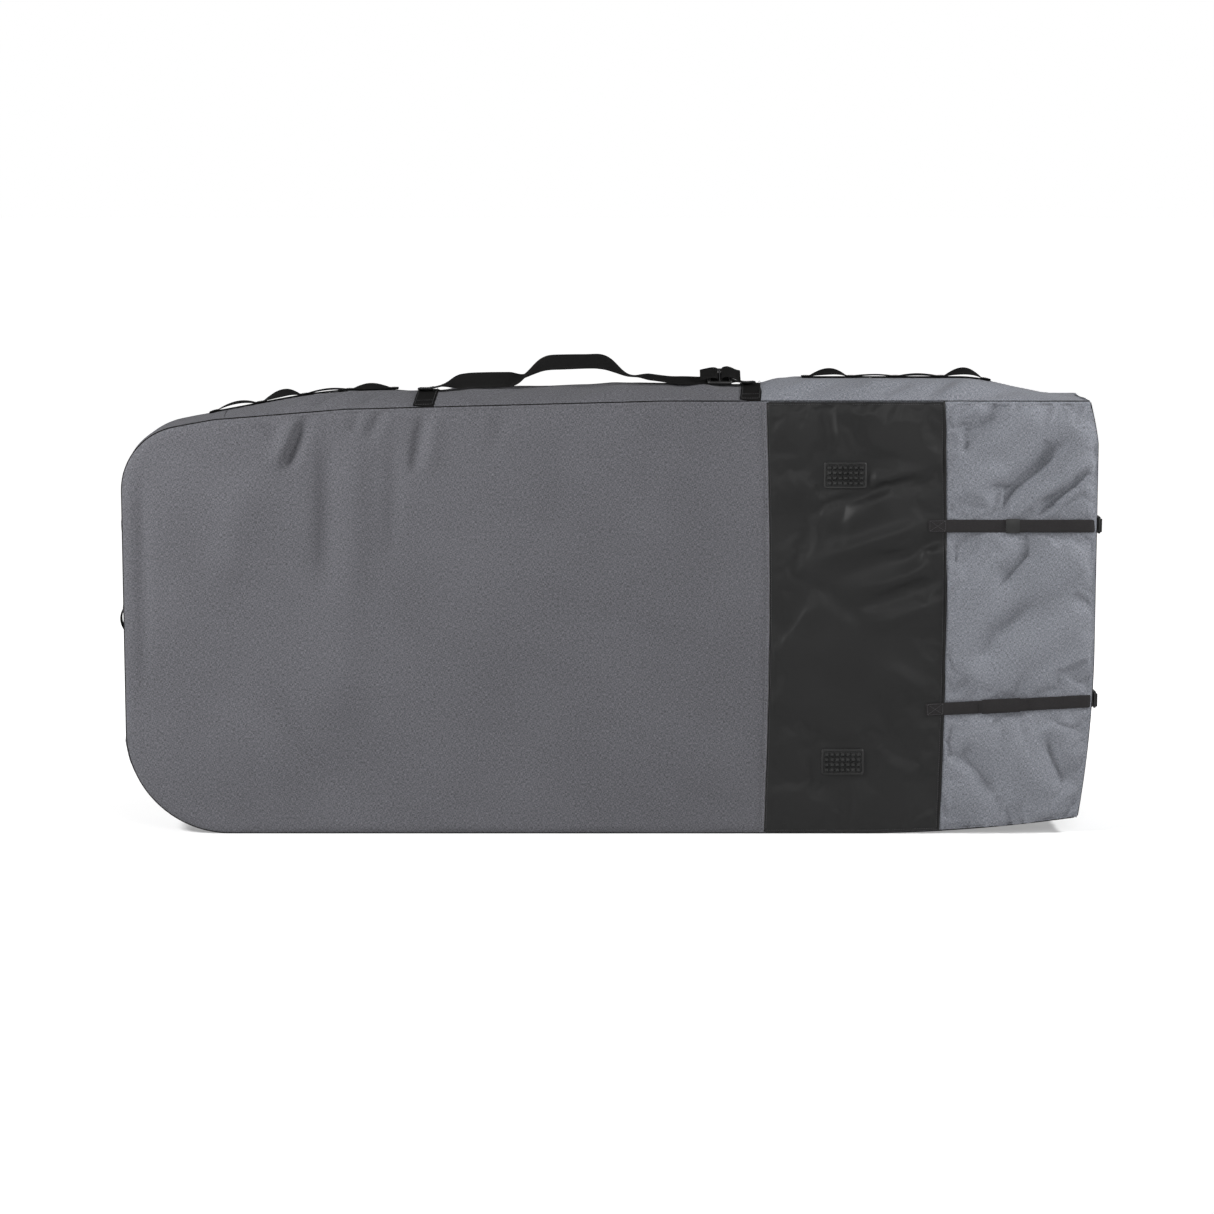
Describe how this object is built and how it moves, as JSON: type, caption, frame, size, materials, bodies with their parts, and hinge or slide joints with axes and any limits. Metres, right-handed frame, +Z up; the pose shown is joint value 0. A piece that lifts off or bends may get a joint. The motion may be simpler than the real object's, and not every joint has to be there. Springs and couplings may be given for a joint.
{
  "type": "snowboard bag",
  "caption": "Long padded board bag with a rounded nose, a coated wear panel with skid pads, a gathering tail section, a zipped back lid, a carry strap and lash loops.",
  "frame": {"origin": "on the floor under the middle of the bag, which stands on its long bottom gusset", "axes": "+X from the rounded nose to the square tail, -Y out of the face with the wear panel, +Y out of the lid, +Z up towards the carry strap"},
  "size_m": [1.802, 0.2146, 0.8806],
  "materials": {
    "heather_fabric": "matte heather weave",
    "light_heather_fabric": "matte heather weave",
    "coated_fabric": "satin coated",
    "black_webbing": "ribbed webbing",
    "black_rubber": "moulded matte",
    "black_plastic": "moulded satin",
    "bar_steel": "polished",
    "lining_cloth": "coated lining",
    "foam_sheet": "closed cell foam",
    "zip_coil": "nylon coil and tape"
  },
  "bodies": {
    "main_shell": {"front_panel": "heather_fabric", "wear_panel": "coated_fabric", "extension_front": "light_heather_fabric", "rear_fixed_panel": "light_heather_fabric", "wear_panel_hem_tape": "heather_fabric", "wear_panel_piping": "coated_fabric", "front_foam_pad": "foam_sheet", "front_lining": "lining_cloth", "top_gusset_tail": "light_heather_fabric", "top_gusset_main": "heather_fabric", "nose_gusset": "heather_fabric", "bottom_gusset": "heather_fabric", "extension_sleeve": "light_heather_fabric", "zipper_tape_shell": "zip_coil", "zipper_coil": "zip_coil", "handle_band_nose": "black_webbing", "handle_band_tail": "black_webbing", "daisy_chain_tail": "black_webbing", "daisy_chain_nose": "black_webbing", "nose_grab_loop": "black_webbing", "carry_strap_nose_run": "black_webbing", "carry_strap_tail_run": "black_webbing", "skid_pad_upper": "black_rubber", "skid_pad_lower": "black_rubber", "upper_strap": "black_webbing", "lower_strap": "black_webbing", "board_strap_nose": "black_webbing", "board_strap_tail": "black_webbing", "board_buckle_nose": "black_plastic", "board_buckle_tail": "black_plastic"},
    "lid": {"lid_panel": "heather_fabric", "zipper_tape_lid": "zip_coil", "lid_foam_pad": "foam_sheet", "lid_lining": "lining_cloth"},
    "tail_end": {"tail_end_panel": "light_heather_fabric", "upper_strap_end": "black_webbing", "lower_strap_end": "black_webbing", "upper_buckle_anchor": "black_webbing", "lower_buckle_anchor": "black_webbing"},
    "upper_buckle": {"upper_end_buckle": "black_plastic"},
    "lower_buckle": {"lower_end_buckle": "black_plastic"},
    "upper_keeper": {"upper_strap_keeper": "black_webbing"},
    "lower_keeper": {"lower_strap_keeper": "black_webbing"},
    "carry_handle": {"carry_strap": "black_webbing"},
    "strap_adjuster": {"adjuster_frame": "black_plastic", "adjuster_bar": "bar_steel"},
    "zip_slider_tail": {"zip_slider_tail": "black_plastic"},
    "zip_slider_nose": {"zip_slider_nose": "black_plastic"},
    "zip_pull_tail": {"zip_pull_tail": "black_plastic"},
    "zip_pull_nose": {"zip_pull_nose": "black_plastic"}
  },
  "joints": [
    {"name": "lid_open", "type": "hinge", "parent": "main_shell", "child": "lid", "pos_m": [0.61, 0.1, 0.4], "axis": [0, 0, -1], "range_deg": [0, 120]},
    {"name": "tail_gather", "type": "slide", "parent": "main_shell", "child": "tail_end", "axis": [-1, 0, 0], "range_m": [0, 0.1], "deforming": ["extension_sleeve", "upper_strap", "lower_strap"]},
    {"name": "upper_buckle_lift", "type": "hinge", "parent": "tail_end", "child": "upper_buckle", "pos_m": [0.89715, -0.058, 0.572], "axis": [0, 0, 1], "range_deg": [0, 40]},
    {"name": "lower_buckle_lift", "type": "hinge", "parent": "tail_end", "child": "lower_buckle", "pos_m": [0.89523, -0.058, 0.24902], "axis": [0, 0, 1], "range_deg": [0, 40]},
    {"name": "upper_keeper_slide", "type": "slide", "parent": "main_shell", "child": "upper_keeper", "axis": [1, 0, 0], "range_m": [-0.08, 0.015]},
    {"name": "lower_keeper_slide", "type": "slide", "parent": "main_shell", "child": "lower_keeper", "axis": [0.9985, 0, 0.0549], "range_m": [-0.05, 0.01]},
    {"name": "handle_flop", "type": "hinge", "parent": "main_shell", "child": "carry_handle", "pos_m": [-0.174, -0.018, 0.83301], "axis": [0.9997, 0, 0.0259], "range_deg": [-40, 40]},
    {"name": "adjuster_slide", "type": "slide", "parent": "main_shell", "child": "strap_adjuster", "axis": [1, 0, 0], "range_m": [-0.045, 0]},
    {"name": "zip_tail_slide", "type": "slide", "parent": "main_shell", "child": "zip_slider_tail", "axis": [1, 0, 0], "range_m": [0, 0.56]},
    {"name": "zip_nose_slide", "type": "slide", "parent": "main_shell", "child": "zip_slider_nose", "axis": [-0.9997, 0, -0.0259], "range_m": [0, 0.53]},
    {"name": "zip_tail_pull", "type": "hinge", "parent": "zip_slider_tail", "child": "zip_pull_tail", "pos_m": [0.118, 0.1062, 0.7877], "axis": [0, 0, 1], "range_deg": [0, 120]},
    {"name": "zip_nose_pull", "type": "hinge", "parent": "zip_slider_nose", "child": "zip_pull_nose", "pos_m": [0.082, 0.1062, 0.78723], "axis": [0, 0, -1], "range_deg": [0, 120]}
  ]
}
